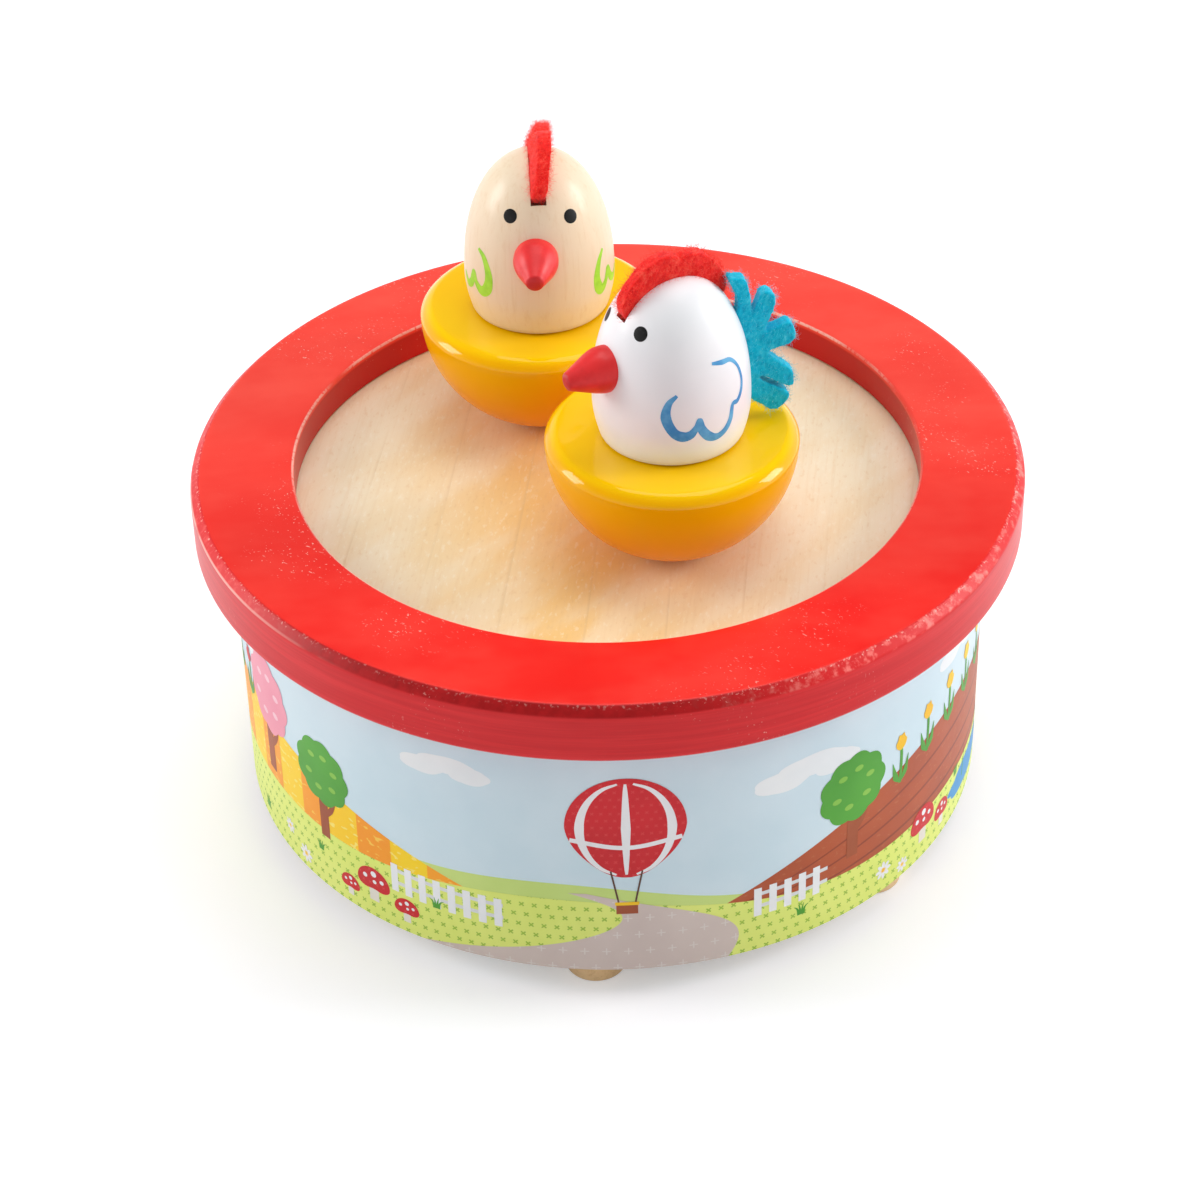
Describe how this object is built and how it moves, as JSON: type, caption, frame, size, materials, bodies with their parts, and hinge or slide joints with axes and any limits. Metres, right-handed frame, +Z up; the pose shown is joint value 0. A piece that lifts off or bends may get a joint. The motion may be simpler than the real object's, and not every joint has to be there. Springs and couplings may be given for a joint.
{
  "type": "wind-up music box",
  "caption": "Round wooden wind-up music box: a papered drum with a red overhanging ring and a sunk stage on which magnets carry little chickens on half balls round.",
  "frame": {"origin": "centre of the drum on the plane that its feet stand on", "axes": "+Z up along the drum's axis, -Y towards the pictured front, +X to the right seen from there"},
  "size_m": [0.165, 0.165, 0.1332],
  "materials": {
    "ring_paint": "satin red lacquer on turned wood, with fine dust pits",
    "pale_wood": "clear-lacquered pale wood with fine grain",
    "raw_wood": "raw wood",
    "printed_paper": "smooth printed paper, satin",
    "yellow_lacquer": "high-gloss yellow lacquer on turned wood",
    "white_lacquer": "satin white lacquer on turned wood",
    "clear_wood": "clear satin lacquer on turned wood",
    "beak_paint": "satin red paint",
    "red_felt": "cut wool felt",
    "green_felt": "cut wool felt",
    "turquoise_felt": "cut wool felt",
    "brass": "satin brass",
    "steel": "satin steel",
    "zinc": "die-cast zinc, matt",
    "magnet": "dark ceramic magnet",
    "nylon": "natural nylon"
  },
  "bodies": {
    "root": {"top_ring": "ring_paint", "stage_disc": "pale_wood", "drum_wall": "raw_wood", "paper_wrap": "printed_paper", "base_disc": "pale_wood", "key_well_ring": "raw_wood", "movement_board": "raw_wood", "foot_1": "pale_wood", "foot_2": "pale_wood", "foot_3": "pale_wood", "foot_4": "pale_wood", "base_screw_1": "steel", "base_screw_2": "steel", "base_screw_3": "steel", "base_screw_4": "steel", "bedplate": "zinc", "movement_screw_1": "steel", "movement_screw_2": "steel", "movement_screw_3": "steel", "steel_comb": "steel", "comb_screw_1": "steel", "comb_screw_2": "steel", "governor_bracket": "steel"},
    "turntable_body": {"spring_barrel": "brass", "barrel_lid": "brass", "mainspring": "steel", "drive_shaft": "steel", "turntable": "raw_wood", "turntable_hub": "brass", "hub_screw": "steel", "drive_magnet_1": "magnet", "drive_magnet_2": "magnet"},
    "key": {"wing_key": "steel", "winding_arbor": "steel"},
    "cylinder": {"pinned_cylinder": "brass", "cylinder_arbor": "steel", "cylinder_pinion": "brass", "cylinder_wheel": "brass"},
    "governor": {"governor_arbor": "steel", "governor_pinion": "brass", "worm_wheel": "nylon"},
    "air_brake": {"worm": "steel", "fly": "nylon"},
    "hen_foot": {"hen_magnet": "magnet"},
    "hen": {"hen_bowl": "yellow_lacquer", "hen_dowel": "raw_wood", "hen_egg": "clear_wood", "hen_beak": "beak_paint", "hen_comb_felt": "red_felt", "hen_tail_felt": "green_felt"},
    "rooster_foot": {"rooster_magnet": "magnet"},
    "rooster": {"rooster_bowl": "yellow_lacquer", "rooster_dowel": "raw_wood", "rooster_egg": "white_lacquer", "rooster_beak": "beak_paint", "rooster_comb_felt": "red_felt", "rooster_tail_felt": "turquoise_felt"}
  },
  "joints": [
    {"name": "turntable_spin", "type": "hinge", "parent": "root", "child": "turntable_body", "pos_m": [0, 0, 0.05], "axis": [0, 0, 1], "continuous": true},
    {"name": "key_wind", "type": "hinge", "parent": "root", "child": "key", "pos_m": [0, 0, 0.012], "axis": [0, 0, 1], "range_deg": [0, 1170]},
    {"name": "cylinder_spin", "type": "hinge", "parent": "root", "child": "cylinder", "pos_m": [0.024, 0, 0.0353], "axis": [1, 0, 0], "continuous": true},
    {"name": "governor_spin", "type": "hinge", "parent": "root", "child": "governor", "pos_m": [0.038, 0.008, 0.0353], "axis": [1, 0, 0], "continuous": true},
    {"name": "air_brake_spin", "type": "hinge", "parent": "root", "child": "air_brake", "pos_m": [0.03932, 0.0134, 0.0353], "axis": [0, 0, 1], "continuous": true},
    {"name": "hen_lift", "type": "slide", "parent": "turntable_body", "child": "hen_foot", "axis": [0, 0, 1], "range_m": [0, 0.07]},
    {"name": "hen_spin", "type": "hinge", "parent": "hen_foot", "child": "hen", "pos_m": [-0.01268, 0.02807, 0.09], "axis": [0, 0, 1], "continuous": true},
    {"name": "rooster_lift", "type": "slide", "parent": "turntable_body", "child": "rooster_foot", "axis": [0, 0, 1], "range_m": [0, 0.07]},
    {"name": "rooster_spin", "type": "hinge", "parent": "rooster_foot", "child": "rooster", "pos_m": [0.01244, -0.01923, 0.09], "axis": [0, 0, 1], "continuous": true}
  ],
  "couplings": [
    {"joint": "cylinder_spin", "follows": "turntable_spin", "ratio": 4},
    {"joint": "governor_spin", "follows": "turntable_spin", "ratio": -16},
    {"joint": "air_brake_spin", "follows": "turntable_spin", "ratio": 320}
  ]
}
